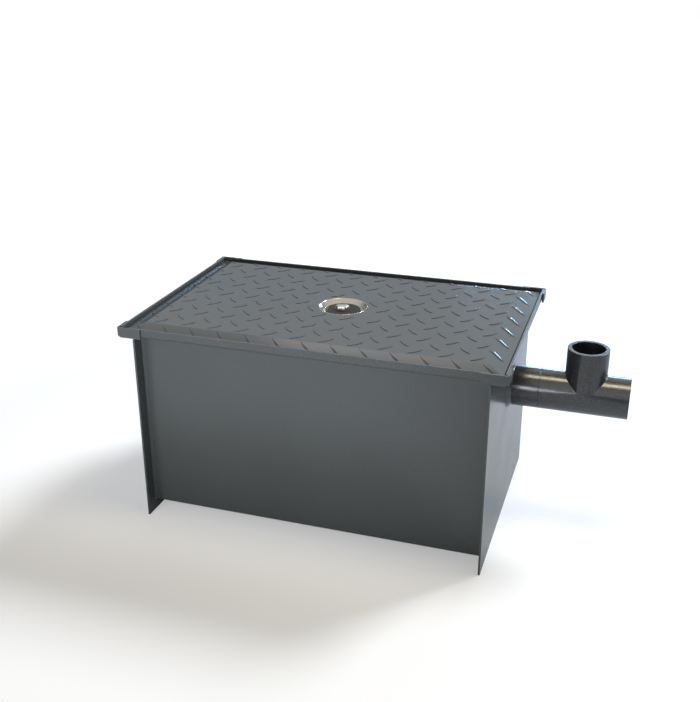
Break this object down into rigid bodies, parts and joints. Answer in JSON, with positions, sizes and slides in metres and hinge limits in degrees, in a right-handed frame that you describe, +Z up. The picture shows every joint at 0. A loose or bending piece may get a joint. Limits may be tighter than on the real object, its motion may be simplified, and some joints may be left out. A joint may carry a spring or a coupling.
{
  "type": "grease separator",
  "caption": "Steel grease separator tank on skids: bolted chequer-plate lid, lift-out inlet baffle, outlet box with cleanout, and a flow control tee on the inlet.",
  "frame": {"origin": "on the floor, at the middle of the tank's footprint", "axes": "+Z up, +X towards the inlet and its tee, -Y towards the front"},
  "size_m": [0.7853, 0.3882, 0.3335],
  "materials": {
    "tank_coating": "satin slate-grey coating",
    "pipe_coating": "semi-gloss dark coating",
    "lid_coating": "satin grey coating on raised-pattern plate",
    "dish_steel": "plain pressed steel",
    "bright_steel": "bright zinc plate",
    "washer_rubber": "matt black rubber",
    "gasket_rubber": "matt black rubber"
  },
  "bodies": {
    "tank": {"end_plate_inlet": "tank_coating", "end_plate_outlet": "tank_coating", "front_wall": "tank_coating", "back_wall": "tank_coating", "bottom_plate": "tank_coating", "corner_welds": "tank_coating", "rim_corner_front_inlet": "tank_coating", "rim_corner_front_outlet": "tank_coating", "rim_corner_back_inlet": "tank_coating", "rim_corner_back_outlet": "tank_coating", "inlet_stub": "pipe_coating", "outlet_stub": "pipe_coating", "bar_bracket_front": "tank_coating", "bar_bracket_back": "tank_coating", "cross_bar": "tank_coating", "bar_nut": "bright_steel", "inlet_cover": "tank_coating", "inlet_baffle": "tank_coating", "baffle_guides": "tank_coating", "outlet_box": "tank_coating", "outlet_box_top": "tank_coating", "outlet_box_weld": "tank_coating", "cleanout_collar": "tank_coating", "air_relief_nipple": "tank_coating"},
    "lid": {"lid_plate": "lid_coating", "lid_gasket": "gasket_rubber", "lid_dish": "dish_steel"},
    "lower_washer": {"steel_washer": "bright_steel"},
    "upper_washer": {"rubber_washer": "washer_rubber"},
    "bolt": {"lid_bolt": "bright_steel"},
    "tee": {"flow_tee": "pipe_coating"}
  },
  "joints": [
    {"name": "lid_lift", "type": "slide", "parent": "tank", "child": "lid", "axis": [0, 0, 1], "range_m": [0, 0.1485]},
    {"name": "lower_washer_lift", "type": "slide", "parent": "lid", "child": "lower_washer", "axis": [0, 0, 1], "range_m": [0, 0.0727]},
    {"name": "upper_washer_lift", "type": "slide", "parent": "lower_washer", "child": "upper_washer", "axis": [0, 0, 1], "range_m": [0, 0.0158]},
    {"name": "bolt_lift", "type": "slide", "parent": "upper_washer", "child": "bolt", "axis": [0, 0, 1], "range_m": [0, 0.0143]},
    {"name": "tee_pull", "type": "slide", "parent": "tank", "child": "tee", "axis": [1, 0, 0], "range_m": [0, 0.0471]}
  ]
}
